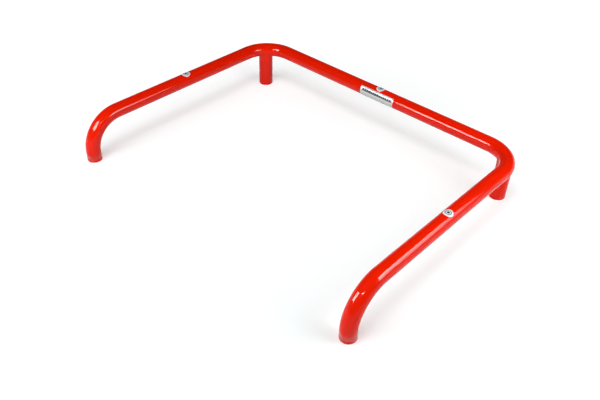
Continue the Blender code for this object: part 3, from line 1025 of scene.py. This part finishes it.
def make_bars_group():
    """A row of upright bars, some missing, between two ends."""
    tree, given, result = new_group("row_of_bars", "ShaderNodeTree", {
        "Along": "Float", "Pitch": "Float", "Fill": "Float", "Share Shown": "Float"},
        {"Mask": "Float"})
    cells = calculate(tree, "DIVIDE", given["Along"], given["Pitch"])
    number = calculate(tree, "FLOOR", cells)
    inside = calculate(tree, "FRACT", cells)
    noise = add_node(tree, "ShaderNodeTexWhiteNoise", {"W": number}, noise_dimensions="1D")
    shown = calculate(tree, "LESS_THAN", noise.outputs["Value"], given["Share Shown"])
    edge = calculate(tree, "ABSOLUTE", calculate(tree, "SUBTRACT", inside, 0.5))
    bar = band(tree, edge, -1.0, calculate(tree, "MULTIPLY", given["Fill"], 0.5), BAR_SOFTNESS)
    tree.links.new(calculate(tree, "MULTIPLY", bar, shown), result["Mask"])
    return tree


BARS = make_bars_group()
print("bars group:", len(BARS.nodes), "nodes")

# %% Label print
LABEL_FOIL = (0.48, 0.51, 0.56)
# the white band is partly a painted highlight, where the highlight streak on the rail crosses the foil
LABEL_WHITE_AND_HIGHLIGHT = (0.66, 0.67, 0.67)
# the grey band is partly painted shade, where the label faces down
LABEL_GREY_AND_SHADE = (0.57, 0.58, 0.58)
LABEL_INK = (0.006, 0.007, 0.008)
# bands down the label: the white one carries a painted highlight, the grey one painted shade
WHITE_AND_HIGHLIGHT_BAND = (0.0026, 0.0125, 0.0006)   # start, end and softness, down from the upper edge
GREY_AND_SHADE_BAND = (0.0106, 0.0160, 0.0012)
BAR_ROW = (0.0035, 0.0077, 0.0002)
BAR_REACH = (-0.0300, 0.0312, 0.0002)   # along the rail
BAR_PITCH, BAR_FILL, BARS_SHOWN = 0.0042, 0.90, 0.94


def make_label_print_and_painted_light():
    """Down the label: foil, white band with dark bars and painted highlight, grey band with painted
    shade, foil.
    """
    material, tree, shader = new_material("label_print")
    place = add_node(tree, "ShaderNodeAttribute", attribute_name="flat_place").outputs["Vector"]
    parts = add_node(tree, "ShaderNodeSeparateXYZ", {0: place})
    along, down = parts.outputs[0], calculate(tree, "MULTIPLY", parts.outputs[1], -1.0)
    bars = add_node(tree, "ShaderNodeGroup", {
        "Along": along, "Pitch": BAR_PITCH, "Fill": BAR_FILL, "Share Shown": BARS_SHOWN},
        node_tree=BARS).outputs["Mask"]
    ink = calculate(tree, "MULTIPLY", bars, band(tree, down, *BAR_ROW))
    ink = calculate(tree, "MULTIPLY", ink, band(tree, along, *BAR_REACH))
    # white band with its painted highlight, then grey band with its painted shade
    colour = mix_colour(tree, band(tree, down, *WHITE_AND_HIGHLIGHT_BAND), (*LABEL_FOIL, 1), LABEL_WHITE_AND_HIGHLIGHT)
    colour = mix_colour(tree, band(tree, down, *GREY_AND_SHADE_BAND), colour, LABEL_GREY_AND_SHADE)
    colour = mix_colour(tree, ink, colour, LABEL_INK)
    feed(tree, shader, {"Base Color": colour, "Roughness": 0.30, "Metallic": 0.25})
    return material


LABEL_PRINT_AND_PAINTED_LIGHT = make_label_print_and_painted_light()
print("material:", LABEL_PRINT_AND_PAINTED_LIGHT.name)

# %% Flat label
LABEL_CORNER = 0.0010
LABEL_FILM = 0.00030

label_low, label_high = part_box("foil_label")
LABEL_LENGTH = label_high.x - label_low.x
label_top_angle = math.acos((label_high.z - RAIL_HEIGHT) / FILM_RADIUS)
label_end_angle = math.acos((label_low.z - RAIL_HEIGHT) / FILM_RADIUS)
LABEL_HEIGHT = (label_end_angle - label_top_angle) * SEAT_RADIUS


def rows_down(corner_rows=6, middle_rows=24):
    """Distances down the label, close together where its corners are round."""
    rounding = [LABEL_CORNER * (1 - math.cos(math.pi / 2 * step / corner_rows))
                for step in range(corner_rows)]
    middle = [LABEL_CORNER + (LABEL_HEIGHT - 2 * LABEL_CORNER) * step / middle_rows
              for step in range(middle_rows + 1)]
    return rounding + middle + [LABEL_HEIGHT - value for value in reversed(rounding)]


def outline(sheet):
    """The pairs of neighbours round a sheet's edge, in order."""
    rim = [row[0] for row in sheet] + sheet[-1][1:] + [row[-1] for row in reversed(sheet[:-1])]
    rim += list(reversed(sheet[0][1:-1]))
    return list(zip(rim, rim[1:] + rim[:1]))


def make_flat_label(columns=40):
    """A closed flat sheet with rounded corners; its upper edge is at y = 0."""
    shape = bmesh.new()
    sheets = []
    for height in (LABEL_FILM, 0):
        sheet = []
        for down in rows_down():
            near = min(down, LABEL_HEIGHT - down, LABEL_CORNER)
            inset = LABEL_CORNER - math.sqrt(LABEL_CORNER ** 2 - (LABEL_CORNER - near) ** 2)
            half = LABEL_LENGTH / 2 - inset
            sheet.append([shape.verts.new((-half + 2 * half * step / columns, -down, height))
                          for step in range(columns + 1)])
        sheets.append(sheet)
    upper, under = sheets
    for sheet, turned in ((upper, False), (under, True)):
        for row, below in zip(sheet, sheet[1:]):
            for step in range(columns):
                corners = [row[step], below[step], below[step + 1], row[step + 1]]
                shape.faces.new(corners[::-1] if turned else corners)
    for rim_up, rim_down in zip(outline(upper), outline(under)):
        shape.faces.new((rim_up[1], rim_up[0], rim_down[0], rim_down[1]))
    for face in shape.faces:
        face.smooth = True
    return finished_mesh("flat_label", shape)


label = new_object("rail_label", make_flat_label())
print("label %.0f by %.0f mm" % (1000 * LABEL_LENGTH, 1000 * LABEL_HEIGHT))

# %% Tree: label on rail
def make_label_tree():
    """A flat sheet in; the sheet rolled on the rail, turned down from the top, out."""
    tree, given, result = new_group("label_on_rail", "GeometryNodeTree", {
        "Flat": "Geometry", "Seat Radius": "Float", "Turn Down": "Float", "Rail": "Vector",
        "Finish": "Material"}, {"Label": "Geometry"})
    wrapped = add_node(tree, "GeometryNodeGroup", {
        "Flat": given["Flat"], "Seat Radius": given["Seat Radius"]}, node_tree=WRAP)
    turn = add_node(tree, "ShaderNodeCombineXYZ", {0: given["Turn Down"]})
    laid = add_node(tree, "GeometryNodeTransform", {
        "Geometry": wrapped.outputs[0], "Translation": given["Rail"],
        "Rotation": turn.outputs[0]})
    hand_out(tree, laid.outputs[0], given["Finish"], result["Label"])
    return tree


print("tree for the label:", len(make_label_tree().nodes), "nodes")

# %% Label
add_tree(label, "label_on_rail", seat_radius=SEAT_RADIUS,
         turn_down=label_top_angle, rail=(middle_of("foil_label").x, BACK_Y, RAIL_HEIGHT),
         finish=LABEL_PRINT_AND_PAINTED_LIGHT)
bake(label)
report(label)
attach(label, "root")
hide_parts("foil_label")
